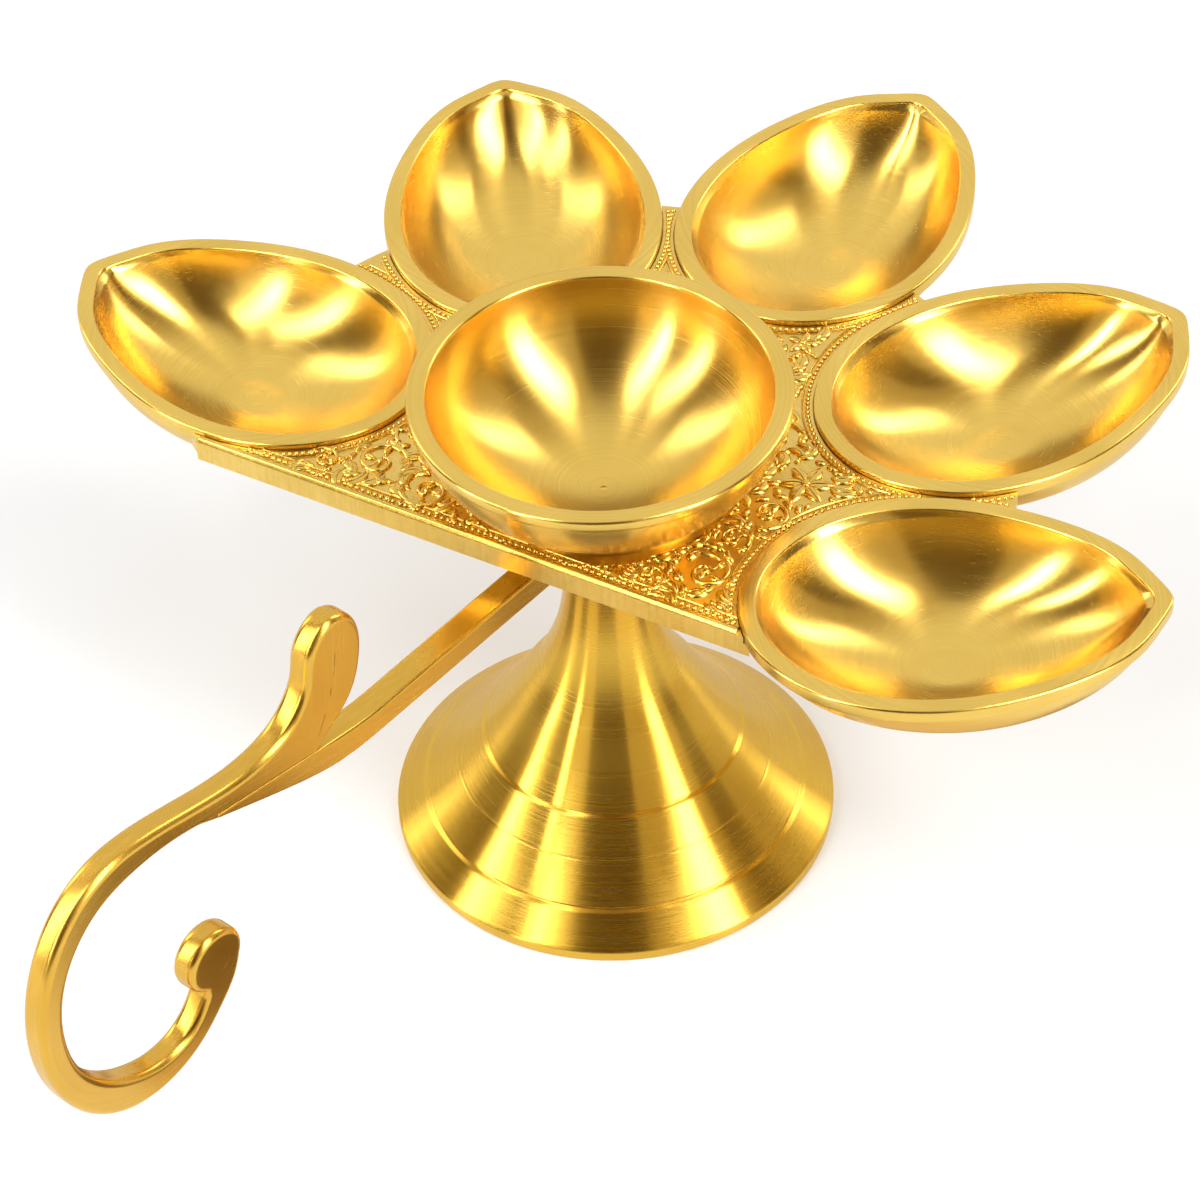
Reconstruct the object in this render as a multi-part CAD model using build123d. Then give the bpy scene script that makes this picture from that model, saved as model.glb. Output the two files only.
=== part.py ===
from build123d import *
from math import atan2, cos, hypot, radians, sin
import os

os.makedirs("parts", exist_ok=True)

# Pedestal: a hollow turned trumpet, open underneath, with a bored neck and a flat top flange.
# The flare and the cavity are given as radius and share of the pedestal's height.
BASE_RADIUS = 37.5
BASE_BAND = 2.0
PEDESTAL_HEIGHT = 64.5
FLANGE_RADIUS = 12.0
FLANGE_THICKNESS = 2.2
FLARE = [(32.3, 0.1054), (26.6, 0.1953), (21.9, 0.2884), (17.6, 0.3876), (14.6, 0.4651), (12.2, 0.524),
         (10.2, 0.5922), (8.5, 0.6744), (7.5, 0.7597), (7.2, 0.8372), (8.2, 0.9085)]
GROOVE_SIZE = 0.5
CAVITY = [(34.2, 0.0), (29.2, 0.0992), (23.0, 0.1953), (18.2, 0.2884), (14.0, 0.3783), (10.6, 0.4496)]
CAVITY_TOP_SHARE = 0.5271
CAVITY_TOP_RADIUS = 8.4

# Fasteners on the lamp's axis, sizes of an M6 stud, washer and nut.
STUD_DIAMETER = 6.0
STUD_END = 1.3
STUD_CHAMFER = 0.6
CLEARANCE_HOLE = 6.6
THREAD_GAP = 0.05
WASHER_DIAMETER = 12.0
WASHER_THICKNESS = 1.6
NUT_ACROSS_FLATS = 10.0
NUT_THICKNESS = 5.0

# Handle: a bar with a thinned eye round the stud, and a flat scroll brazed on its outer end.
# Its points are distance from the axis and height above the pedestal's top.
BAR_WIDTH = 4.6
BAR_HEIGHT = 4.8
EYE_RADIUS = 9.5
EYE_THICKNESS = 3.1
STEP_RADIUS = 8.7
BAR_BEND_START = 56.0
SEAM_START = (71.0, 6.9)
SEAM_END = (92.0, 10.9)
BAR_TIP = 0.7
BAR_UNDER = [(66.8, 0.8), (73.4, 2.7), (82.0, 6.0)]
SCROLL_THICKNESS = 4.4
SCROLL_UNDER = [(99.0, 12.1), (109.0, 12.9), (116.5, 11.3), (122.2, 6.7), (125.6, -0.1), (126.4, -8.5),
                (124.6, -16.9), (119.8, -24.1), (113.4, -28.6), (107.6, -30.0), (102.6, -28.5), (98.4, -23.3)]
SCROLL_OVER = [(93.2, -17.3), (90.6, -19.3), (92.0, -23.9), (95.8, -28.7), (101.2, -33.1), (108.0, -35.3),
               (116.0, -34.3), (123.0, -29.5), (128.0, -22.1), (130.6, -14.1), (131.2, -6.5), (130.0, 1.5),
               (127.2, 8.3), (123.2, 13.5), (118.0, 16.9), (112.0, 18.3), (106.0, 17.9), (98.0, 16.2),
               (90.0, 14.4), (84.0, 13.8), (79.5, 14.2), (75.5, 15.7), (72.6, 18.4), (71.1, 21.5),
               (70.4, 25.1), (68.2, 28.4), (64.4, 29.9), (60.8, 27.9), (59.0, 23.3), (59.4, 18.4),
               (60.8, 14.3), (63.2, 11.2), (66.8, 8.8)]
KNOB_CENTRE = (96.1, -18.5)
KNOB_RADIUS = 5.7

# Tray plate: a flat casting with a straight front edge, and a seat with a rebate for each bowl's lip.
PLATE_RISE = 12.9
PLATE_THICKNESS = 3.7
WEB_RADIUS = 66.0
FRONT_MARGIN = 3.4
FRONT_LEFT = 68.0
FRONT_RIGHT = 46.0
FRONT_DEPTH = 14.0
FRONT_CORNER = 11.0
FRONT_SKEW = 2.0
SEAT_CLEARANCE = 0.3
REBATE_CLEARANCE = 0.15

# Centre bowl: turned, with a collar on the plate and a tapped foot through the plate's hole.
RIM_RISE = 16.0
RIM_RADIUS = 30.6
RIM_LIP = 3.1
RIM_BAND = 1.8
RIM_STEP = 0.6
BOWL_FLOOR = 2.2
BOWL_SWELL = 1.7
COLLAR_LEDGE = 1.2
COLLAR_THICKNESS = 1.6
FOOT_RADIUS = 8.0
FOOT_HEIGHT = 4.8
FOOT_FLOOR = 1.3

# Petal bowls: one leaf-shaped casting used five times, its lip let into the plate.
LEAF_TIP = (34.2, 0.0)
LEAF_HALF = [(33.6, 2.05), (32.2, 4.6), (29.1, 9.45), (24.1, 14.2), (18.1, 17.8), (6.0, 22.4),
             (-6.5, 23.6), (-20.3, 19.8), (-28.6, 12.2), (-31.6, 6.4)]
LEAF_BACK = (-32.6, 0.0)
LIP_RISE = 1.0
LIP_THICKNESS = 2.3
LIP_WIDTH = 3.0
LIP_OVERHANG = 0.9
PETAL_DEPTH = 16.0
PETAL_FLOOR = 2.0
ROUND_LENGTH = 31.0
ROUND_WIDTH = 22.4
CORNER_FADE = 0.6
HULL = [(0.0, 1.0), (0.3, 0.955), (0.55, 0.85), (0.75, 0.7), (0.89, 0.51), (0.97, 0.32), (1.0, 0.16)]

# How the tray stands over the handle, and where the petals sit round its axis:
# name, angle, distance of the leaf's middle from the axis, turn of the leaf off the radial line.
TRAY_TURN = 9.0
PETALS = [("left_outer", 181.0, 66.9, -3.9), ("left_inner", 132.4, 68.0, -5.6),
          ("middle", 88.8, 75.0, 1.4), ("right_inner", 45.5, 67.6, 12.1), ("right_outer", -1.8, 63.0, 32.0)]

leaf_length = (LEAF_TIP[0] - LEAF_BACK[0]) / 2
leaf_width = max(y for x, y in LEAF_HALF)
eye_bottom = PEDESTAL_HEIGHT
eye_top = eye_bottom + EYE_THICKNESS
bar_top = eye_bottom + BAR_HEIGHT
plate_top = PEDESTAL_HEIGHT + PLATE_RISE
plate_bottom = plate_top - PLATE_THICKNESS
lip_top = plate_top + LIP_RISE
lip_bottom = lip_top - LIP_THICKNESS
rim_top = plate_top + RIM_RISE
bowl_bottom = eye_top + FOOT_HEIGHT
bowl_depth = rim_top - bowl_bottom
cavity_top = PEDESTAL_HEIGHT * CAVITY_TOP_SHARE
washer_bottom = cavity_top - WASHER_THICKNESS
nut_bottom = washer_bottom - NUT_THICKNESS
stud_top = bowl_bottom - FOOT_FLOOR
stud_bottom = nut_bottom - STUD_END
inside_radius = RIM_RADIUS - RIM_LIP
wall_top = rim_top - RIM_BAND
wall_radius = RIM_RADIUS - RIM_STEP
wall_depth = wall_top - (bowl_bottom - BOWL_FLOOR)
collar_wall = wall_radius * (1 - ((wall_top - plate_top) / wall_depth) ** BOWL_SWELL) ** (1 / BOWL_SWELL)
collar_radius = collar_wall + COLLAR_LEDGE
front_offset = collar_radius + FRONT_MARGIN


def side_profile(points):
    """Points of the handle's upright plane, from distance to the axis and height over the pedestal."""
    return [Vector(0, -d, PEDESTAL_HEIGHT + z) for d, z in points]


def upright_plate(edges, thickness):
    """A flat shape in the handle's upright plane, thickened equally to both sides."""
    face = Face(Wire(edges))
    return extrude(face, amount=thickness / 2, dir=(1, 0, 0), both=True)


def leaf_wire(inset, scale, roundness, height):
    """The leaf's outline, drawn in by inset, shrunk by scale, and rounder as roundness goes to 1."""
    points = []
    for x, y in [LEAF_TIP] + LEAF_HALF + [LEAF_BACK]:
        x = x * (1 - inset / leaf_length)
        y = y * (1 - inset / leaf_width)
        angle = atan2(y, x)
        across = cos(angle) / (ROUND_LENGTH - inset)
        oval = 1 / hypot(across, sin(angle) / (ROUND_WIDTH - inset))
        radius = scale * ((1 - roundness) * hypot(x, y) + roundness * oval)
        points.append((radius * cos(angle), radius * sin(angle)))
    outline = points + [(x, -y) for x, y in points[-2:0:-1]]
    return Wire([Edge.make_spline([Vector(x, y, height) for x, y in outline], periodic=True)])


def leaf_hull(inset, top, depth):
    """A leaf-shaped bowl body that narrows downwards from its outline at the top."""
    return Solid.make_loft([leaf_wire(inset, s, t**CORNER_FADE, top - depth * t) for t, s in HULL])


def leaf_slab(inset, bottom, top):
    """A flat leaf-shaped slab."""
    return extrude(Face(leaf_wire(inset, 1, 0, bottom)), amount=top - bottom, dir=(0, 0, 1))


def petal_place(angle, distance, turn):
    """Where a petal stands on the tray."""
    return Rot(0, 0, angle) * Pos(distance, 0, 0) * Rot(0, 0, turn)


# Pedestal, outside drawn through the flare, then the cavity, bore and grooves cut away.
neck_top = PEDESTAL_HEIGHT - FLANGE_THICKNESS
flare_points = [(r, share * PEDESTAL_HEIGHT) for r, share in FLARE]
flare = Edge.make_spline([Vector(r, 0, z) for r, z in
                          [(BASE_RADIUS, BASE_BAND)] + flare_points + [(FLANGE_RADIUS, neck_top)]])
outside = Polyline((FLANGE_RADIUS, 0, neck_top), (FLANGE_RADIUS, 0, PEDESTAL_HEIGHT), (0, 0, PEDESTAL_HEIGHT),
                   (0, 0, 0), (BASE_RADIUS, 0, 0), (BASE_RADIUS, 0, BASE_BAND))
pedestal = revolve(Face(Wire([flare] + list(outside.edges()))), Axis.Z)
cavity_points = [(r, share * PEDESTAL_HEIGHT) for r, share in CAVITY] + [(CAVITY_TOP_RADIUS, cavity_top)]
hollow = Edge.make_spline([Vector(r, 0, z) for r, z in cavity_points])
closing = Polyline((CAVITY_TOP_RADIUS, 0, cavity_top), (0, 0, cavity_top), (0, 0, 0), (CAVITY[0][0], 0, 0))
pedestal -= revolve(Face(Wire([hollow] + list(closing.edges()))), Axis.Z)
pedestal -= Cylinder(CLEARANCE_HOLE / 2, PEDESTAL_HEIGHT, align=(Align.CENTER, Align.CENTER, Align.MIN))
for radius, height in (flare_points[0], flare_points[2]):
    pedestal -= Pos(0, 0, height) * Torus(radius, GROOVE_SIZE)
export_step(pedestal, "parts/pedestal.step")

# Washer and nut at the top of the pedestal's cavity, and the stud they pull on.
washer = extrude(Circle(WASHER_DIAMETER / 2) - Circle(CLEARANCE_HOLE / 2), amount=WASHER_THICKNESS)
export_step(Pos(0, 0, washer_bottom) * washer, "parts/clamp_washer.step")
hexagon = RegularPolygon(NUT_ACROSS_FLATS / 2, 6, major_radius=False)
nut = extrude(hexagon - Circle(STUD_DIAMETER / 2 + THREAD_GAP), amount=NUT_THICKNESS)
export_step(Pos(0, 0, nut_bottom) * nut, "parts/clamp_nut.step")
stud = Pos(0, 0, stud_bottom) * extrude(Circle(STUD_DIAMETER / 2), amount=stud_top - stud_bottom)
stud = chamfer(stud.edges().group_by(Axis.Z)[0], STUD_CHAMFER)
export_step(stud, "parts/tie_stud.step")

# Handle bar: straight to the bend, then rising and thinning to a tip under the scroll.
tip_under = (SEAM_END[0], SEAM_END[1] - BAR_TIP)
seam_direction = Vector(0, SEAM_START[0] - SEAM_END[0], SEAM_END[1] - SEAM_START[1])
bar_over = Edge.make_spline(side_profile([(BAR_BEND_START, BAR_HEIGHT), SEAM_START]),
                            [Vector(0, -1, 0), seam_direction])
bar_under = Edge.make_spline(side_profile([(BAR_BEND_START, 0)] + BAR_UNDER + [tip_under]),
                             [Vector(0, -1, 0), Vector(0, -1, 0.42)])
bar_rest = list(Polyline(*side_profile([SEAM_START, SEAM_END, tip_under])).edges())
bar_rest += list(Polyline(*side_profile([(BAR_BEND_START, 0), (0, 0), (0, BAR_HEIGHT),
                                         (BAR_BEND_START, BAR_HEIGHT)])).edges())
handle_bar = upright_plate([bar_over, bar_under] + bar_rest, BAR_WIDTH)
handle_bar -= Pos(0, 0, eye_top) * extrude(Circle(STEP_RADIUS), amount=BAR_HEIGHT)
handle_bar += Pos(0, 0, eye_bottom) * extrude(Circle(EYE_RADIUS), amount=EYE_THICKNESS)
handle_bar -= Pos(0, 0, eye_bottom) * extrude(Circle(CLEARANCE_HOLE / 2), amount=BAR_HEIGHT)
export_step(handle_bar, "parts/handle_bar.step")

# Handle scroll: thumb leaf, arch, hook and round knob in one flat casting.
under = Edge.make_spline(side_profile([tip_under] + SCROLL_UNDER))
over = Edge.make_spline(side_profile(SCROLL_OVER + [SEAM_START]))
scroll_rest = list(Polyline(*side_profile([SEAM_START, SEAM_END, tip_under])).edges())
scroll_rest += list(Polyline(*side_profile([SCROLL_UNDER[-1], SCROLL_OVER[0]])).edges())
scroll = upright_plate([under, over] + scroll_rest, SCROLL_THICKNESS)
knob_place = Plane(origin=side_profile([KNOB_CENTRE])[0], z_dir=(1, 0, 0))
scroll += extrude(knob_place * Circle(KNOB_RADIUS), amount=SCROLL_THICKNESS / 2, both=True)
export_step(scroll, "parts/handle_scroll.step")

# Centre bowl, turned inside and out, with its collar, foot and stud socket.
steps = [radians(a) for a in range(0, 91, 5)]
inner = [Vector(inside_radius * cos(a), 0, rim_top - bowl_depth * sin(a)) for a in steps]
fall = 2 / BOWL_SWELL
outer = [Vector(wall_radius * abs(cos(a)) ** fall, 0, wall_top - wall_depth * sin(a) ** fall) for a in steps]
inner_curve = Edge.make_spline(inner, [Vector(0, 0, -1), Vector(-1, 0, 0)])
outer_curve = Edge.make_spline(outer, [Vector(0, 0, -1), Vector(-1, 0, 0)])
rim_lines = Polyline((inside_radius, 0, rim_top), (RIM_RADIUS, 0, rim_top), (RIM_RADIUS, 0, wall_top),
                     (wall_radius, 0, wall_top))
floor_line = Line((0, 0, bowl_bottom), (0, 0, bowl_bottom - BOWL_FLOOR))
core_lines = Polyline((inside_radius, 0, rim_top), (0, 0, rim_top), (0, 0, bowl_bottom))
bowl_edges = [inner_curve, outer_curve] + list(rim_lines.edges()) + list(floor_line.edges())
centre_bowl = revolve(Face(Wire(bowl_edges)), Axis.Z)
core = revolve(Face(Wire([inner_curve] + list(core_lines.edges()))), Axis.Z)
collar = Pos(0, 0, plate_top) * extrude(Circle(collar_radius), amount=COLLAR_THICKNESS)
foot = Pos(0, 0, eye_top) * extrude(Circle(FOOT_RADIUS), amount=FOOT_HEIGHT)
centre_bowl = centre_bowl + collar + foot - core
centre_bowl -= Pos(0, 0, eye_top) * extrude(Circle(STUD_DIAMETER / 2 + THREAD_GAP), amount=stud_top - eye_top)
export_step(centre_bowl, "parts/centre_bowl.step")

# Tray plate: disc and front strip trimmed at the straight front edge, then the bowl's hole and the seats.
disc = extrude(Circle(WEB_RADIUS), amount=PLATE_THICKNESS)
beyond = Pos(0, -front_offset, 0) * Box(4 * WEB_RADIUS, 4 * WEB_RADIUS, 4 * PLATE_THICKNESS,
                                        align=(Align.CENTER, Align.MAX, Align.CENTER))
strip = Pos((FRONT_RIGHT - FRONT_LEFT) / 2, -front_offset, 0) * Box(
    FRONT_LEFT + FRONT_RIGHT, FRONT_DEPTH, PLATE_THICKNESS, align=(Align.CENTER, Align.MIN, Align.MIN))
strip = fillet(strip.edges().filter_by(Axis.Z).sort_by(Axis.Y)[:2], FRONT_CORNER)
plate = Pos(0, 0, plate_bottom) * Rot(0, 0, FRONT_SKEW) * (disc - beyond + strip)
plate -= Pos(0, 0, plate_bottom) * extrude(Circle(collar_wall + SEAT_CLEARANCE), amount=PLATE_THICKNESS)
seat = leaf_slab(LIP_OVERHANG - SEAT_CLEARANCE, plate_bottom, plate_top)
rebate = leaf_slab(-REBATE_CLEARANCE, lip_bottom, plate_top)

# Petal bowl: hull and lip, hollowed, then set down once for each seat.
petal = leaf_hull(LIP_OVERHANG, lip_bottom, PETAL_DEPTH - LIP_THICKNESS)
petal += leaf_slab(0, lip_bottom, lip_top)
petal -= leaf_hull(LIP_WIDTH, lip_top, PETAL_DEPTH - PETAL_FLOOR)
for name, angle, distance, turn in PETALS:
    place = petal_place(angle, distance, turn)
    plate -= place * seat
    plate -= place * rebate
    export_step(Rot(0, 0, TRAY_TURN) * place * petal, f"parts/petal_bowl_{name}.step")
export_step(Rot(0, 0, TRAY_TURN) * plate, "parts/tray_plate.step")
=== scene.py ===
from math import atan2, cos, hypot, pi, radians, sin

import bmesh
import bpy
import numpy as np
from mathutils import Matrix, Vector


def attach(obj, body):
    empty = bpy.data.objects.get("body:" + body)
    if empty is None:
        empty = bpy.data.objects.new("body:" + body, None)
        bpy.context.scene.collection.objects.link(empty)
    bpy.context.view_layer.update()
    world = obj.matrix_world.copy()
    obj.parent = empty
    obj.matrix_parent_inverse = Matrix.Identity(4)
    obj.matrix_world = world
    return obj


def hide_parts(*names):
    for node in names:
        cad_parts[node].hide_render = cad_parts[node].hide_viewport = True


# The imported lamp: thirteen brass pieces in four bodies.
# It stands on its pedestal at the origin, with the handle towards -Y.
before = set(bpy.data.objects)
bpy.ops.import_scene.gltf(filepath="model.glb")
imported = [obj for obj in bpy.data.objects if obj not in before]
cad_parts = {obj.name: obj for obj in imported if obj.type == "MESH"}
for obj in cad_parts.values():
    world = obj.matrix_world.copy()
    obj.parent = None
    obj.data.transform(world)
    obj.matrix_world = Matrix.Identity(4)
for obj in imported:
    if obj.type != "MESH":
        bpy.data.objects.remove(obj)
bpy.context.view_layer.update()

# Pedestal: a hollow brass trumpet, spun thin and turned on a lathe.
# Two fine grooves and a fainter ring were cut while it turned, and the turning lines run level all round it.
# Sizes are in millimetres; the flare and the cavity are given as radius and height.
MM = 0.001
BASE_RADIUS, FLANGE_RADIUS, NECK_BORE = 37.5, 12.0, 3.3
FLANGE_LOW, PEDESTAL_TOP = 62.3, 64.5
FLARE = [(BASE_RADIUS, 2.0), (32.3, 6.8), (26.6, 12.6), (21.9, 18.6), (17.6, 25.0), (14.6, 30.0),
         (12.2, 33.8), (10.2, 38.2), (8.5, 43.5), (7.5, 49.0), (7.2, 54.0), (8.2, 58.6),
         (FLANGE_RADIUS, FLANGE_LOW)]
CAVITY = [(34.2, 0.0), (29.2, 6.4), (23.0, 12.6), (18.2, 18.6), (14.0, 24.4), (10.6, 29.0), (8.4, 34.0)]
# Each groove's height, depth and half width.
GROOVES = [(6.8, 0.42, 0.36), (12.6, 0.09, 0.2), (18.6, 0.42, 0.36)]
BASE_ROUND, FLANGE_ROUND, EDGE, FOOT_EDGE = 0.5, 0.1, 0.3, 0.2
# Of the flare's points, one in KEPT is used, and in a groove one in KEPT_IN_GROOVE.
FLARE_POINTS, KEPT, KEPT_IN_GROOVE = 1000, 9, 2
WELD = 1e-7
PEDESTAL_LIGHT, PEDESTAL_DARK = (0.80, 0.505, 0.075), (0.69, 0.42, 0.048)


def smooth_line(points, count, start=None, end=None):
    """Points along a smooth curve through the given ones, with its end directions if they are given."""
    p = np.array(points, float)
    h = np.linalg.norm(np.diff(p, axis=0), axis=1)
    t = np.concatenate([[0], np.cumsum(h)])
    n = len(p)
    a, b = np.zeros((n, n)), np.zeros_like(p)
    for i in range(1, n - 1):
        a[i, i - 1 : i + 2] = 1 / h[i - 1], 2 / h[i - 1] + 2 / h[i], 1 / h[i]
        b[i] = 3 * ((p[i] - p[i - 1]) / h[i - 1] ** 2 + (p[i + 1] - p[i]) / h[i] ** 2)
    a[0, :2], b[0] = (2, 1), 3 * (p[1] - p[0]) / h[0]
    a[-1, -2:], b[-1] = (1, 2), 3 * (p[-1] - p[-2]) / h[-1]
    if start is not None:
        a[0, :2], b[0] = (1, 0), np.array(start, float) / np.linalg.norm(start)
    if end is not None:
        a[-1, -2:], b[-1] = (0, 1), np.array(end, float) / np.linalg.norm(end)
    m = np.linalg.solve(a, b)
    at = np.linspace(0, t[-1], count)
    k = np.clip(np.searchsorted(t, at, side="right") - 1, 0, n - 2)
    u = ((at - t[k]) / h[k])[:, None]
    hk = h[k][:, None]
    return ((2 * u**3 - 3 * u**2 + 1) * p[k] + (u**3 - 2 * u**2 + u) * hk * m[k]
            + (3 * u**2 - 2 * u**3) * p[k + 1] + (u**3 - u**2) * hk * m[k + 1])


def put(name, data):
    """A new object in the scene, from its mesh, lamp or lens."""
    made = bpy.data.objects.new(name, data)
    bpy.context.scene.collection.objects.link(made)
    return made


def piece(name, verts, faces, body, finish, slot, replaced=(), sharp=40, place=None):
    """A named brass piece from points in millimetres, smooth but for edges of sharp degrees or more."""
    mesh = bpy.data.meshes.new(name)
    mesh.from_pydata([tuple(v) for v in np.array(verts, float) * MM], [], faces)
    work = bmesh.new()
    work.from_mesh(mesh)
    bmesh.ops.remove_doubles(work, verts=work.verts, dist=WELD)
    bmesh.ops.dissolve_degenerate(work, edges=work.edges, dist=WELD)
    bmesh.ops.recalc_face_normals(work, faces=work.faces)
    work.to_mesh(mesh)
    work.free()
    mesh.shade_smooth()
    mesh.set_sharp_from_angle(angle=radians(sharp))
    mesh.materials.append(finish)
    made = put(name, mesh)
    if place is not None:
        made.matrix_world = place
    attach(made, body)
    if replaced:
        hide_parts(*replaced)
    return made


def rounded(corner, before, after, radius, steps=4):
    """Points that round a corner, on the way from one of its neighbours to the other."""
    c, p, n = np.array(corner, float), np.array(before, float), np.array(after, float)
    start = c + (p - c) / np.linalg.norm(p - c) * radius
    end = c + (n - c) / np.linalg.norm(n - c) * radius
    t = np.linspace(0, 1, steps + 1)[:, None]
    return [tuple(q) for q in (1 - t) ** 2 * start + 2 * t * (1 - t) * c + t**2 * end]


def ring_faces(rows, columns, closed):
    """Faces between neighbouring rows of points, each row a ring; closed joins the last row to the first."""
    faces = []
    for i in range(rows if closed else rows - 1):
        for j in range(columns):
            a, b = i * columns, ((i + 1) % rows) * columns
            k = (j + 1) % columns
            faces.append((a + j, a + k, b + k, b + j))
    return faces


def turned(profile, steps=224):
    """Points and faces of a closed profile of radius and height, turned about the upright axis."""
    turns = [2 * pi * j / steps for j in range(steps)]
    verts = [(r * cos(a), r * sin(a), z) for r, z in profile for a in turns]
    return verts, ring_faces(len(profile), steps, True)


class Channel:
    """A shader socket that can be used in sums, with one method that makes every node."""

    def __init__(self, tree, socket):
        self.tree, self.socket = tree, socket

    def node(self, kind, settings=None, inputs=None, output=0):
        made = self.tree.nodes.new(kind)
        for key, value in (settings or {}).items():
            if key == "stops":
                ramp = made.color_ramp.elements
                while len(ramp) < len(value):
                    ramp.new(0.5)
                for stop, (position, colour) in zip(ramp, value):
                    stop.position, stop.color = position, (*colour, 1)
            else:
                setattr(made, key, value)
        for key, value in (inputs or {}).items():
            if isinstance(value, Channel):
                self.tree.links.new(value.socket, made.inputs[key])
            else:
                made.inputs[key].default_value = value
        return Channel(self.tree, made.outputs[output])

    def maths(self, operation, *values):
        return self.node("ShaderNodeMath", {"operation": operation}, dict(enumerate(values)))

    def axes(self):
        return [self.node("ShaderNodeSeparateXYZ", {}, {0: self}, output=k) for k in range(3)]

    def joined(self, *parts):
        return self.node("ShaderNodeCombineXYZ", {}, dict(enumerate(parts)))

    def noise(self, detail, scale=1.0):
        return self.node("ShaderNodeTexNoise", {}, {"Vector": self, "Scale": scale, "Detail": detail})

    def __add__(self, other):
        return self.maths("ADD", self, other)

    def __sub__(self, other):
        return self.maths("SUBTRACT", self, other)

    def __rsub__(self, other):
        return self.maths("SUBTRACT", other, self)

    def __mul__(self, other):
        return self.maths("MULTIPLY", self, other)

    def __pow__(self, other):
        return self.maths("POWER", self, other)

    def clipped(self):
        return self.maths("MINIMUM", self.maths("MAXIMUM", self, 0.0), 1.0)

    __radd__, __rmul__ = __add__, __mul__


def length_of(a, b):
    """The length of a vector with two parts."""
    return (a * a + b * b) ** 0.5


# How the brass takes its marks: the grain of its patches, the share of the dark colour in the darkest stop,
# which holds the leaf's vein and the painted shade low on the relief, the tones of dark and light brass,
# how much marks and patches change the gloss, and the height of the relief in metres.
PATCH_GRAIN = 55.0
VEIN_AND_SHADE_SHARE, DARK_TONE, LIGHT_TONE = 0.25, 0.27, 0.68
MARK_GLOSS, PATCH_GLOSS, MEAN_GLOSS = 0.12, 0.08, 0.10
COMB_SHARE, RELIEF_HEIGHT = 0.8, 0.0004
# Streaks lie across the marks, a quarter turn round, and fade out towards the piece's own axis.
QUARTER_TURN, HUB_START, HUB_FALL = 0.25, 1.45, 110.0


def bare_material(name):
    """A new material with no surface yet, and a channel to build one with."""
    made = bpy.data.materials.new(name)
    made.use_nodes = True
    tree = made.node_tree
    tree.nodes.remove(tree.nodes["Principled BSDF"])
    return made, Channel(tree, None)


def give_surface(made, surface):
    """Joins a finished shader to a material's output."""
    tree = made.node_tree
    tree.links.new(surface.socket, tree.nodes["Material Output"].inputs["Surface"])


def brass(name, light, dark, roughness, lines, streak=0.0, depth=0.012, extra=None, comb=None):
    """Brass whose colour, gloss and fine relief follow the tool marks given by lines(place).

    streak draws the highlights out across the marks, and depth is the strength of the relief.
    extra darkens parts of the colour, such as the leaf's vein or the painted shade on the relief, and comb
    adds marks to the relief alone.
    """
    made, start = bare_material(name)
    place = start.node("ShaderNodeTexCoord", output="Object")
    marks = lines(place)
    patches = place.noise(detail=3.0, scale=PATCH_GRAIN)
    tone = (marks * 0.5 + patches * 0.5).clipped()
    if extra is not None:
        tone = (tone * extra(place)).clipped()
    # The darkest stop holds the painted shade low on the relief and the leaf's dark vein.
    vein_and_shade = tuple(VEIN_AND_SHADE_SHARE * part for part in dark)
    stops = [(0.0, vein_and_shade), (DARK_TONE, dark), (LIGHT_TONE, light)]
    colour = place.node("ShaderNodeValToRGB", {"stops": stops}, {"Fac": tone})
    rough = marks * MARK_GLOSS + patches * PATCH_GLOSS + (roughness - MEAN_GLOSS)
    relief = marks if comb is None else marks + comb(place) * COMB_SHARE
    bump = place.node("ShaderNodeBump", {}, {"Height": relief, "Strength": depth, "Distance": RELIEF_HEIGHT})
    finish = {"Base Color": colour, "Roughness": rough, "Normal": bump, "Metallic": 1.0}
    surface = place.node("ShaderNodeBsdfPrincipled", {}, finish)
    if streak:
        x, y = place.axes()[:2]
        hub = (HUB_START - length_of(x, y) * HUB_FALL).clipped()
        drawn_out = {**finish, "Anisotropic": streak, "Anisotropic Rotation": QUARTER_TURN}
        brushed = place.node("ShaderNodeBsdfPrincipled", {}, drawn_out)
        surface = place.node("ShaderNodeMixShader", {}, {0: hub, 1: brushed, 2: surface})
    give_surface(made, surface)
    return made


# Turning lines per metre of radius or height, how they drift round the piece, and the share of each kind.
FINE_LINES, BROAD_LINES, FINE_DRIFT, BROAD_DRIFT = 3400.0, 900.0, 9.0, 6.0
FINE_SHARE, BROAD_SHARE = 0.85, 0.15


def lathe_lines(place):
    """Fine rings round the piece's own upright axis."""
    x, y, z = place.axes()
    radius = length_of(x, y)
    fine = place.joined(radius * FINE_LINES, z * FINE_LINES, x * FINE_DRIFT)
    broad = place.joined(radius * BROAD_LINES, z * BROAD_LINES, y * BROAD_DRIFT)
    return fine.noise(detail=2.0) * FINE_SHARE + broad.noise(detail=1.0) * BROAD_SHARE


turned_brass = brass("turned_brass", PEDESTAL_LIGHT, PEDESTAL_DARK, roughness=0.26, lines=lathe_lines,
                     streak=1.0)

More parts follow.
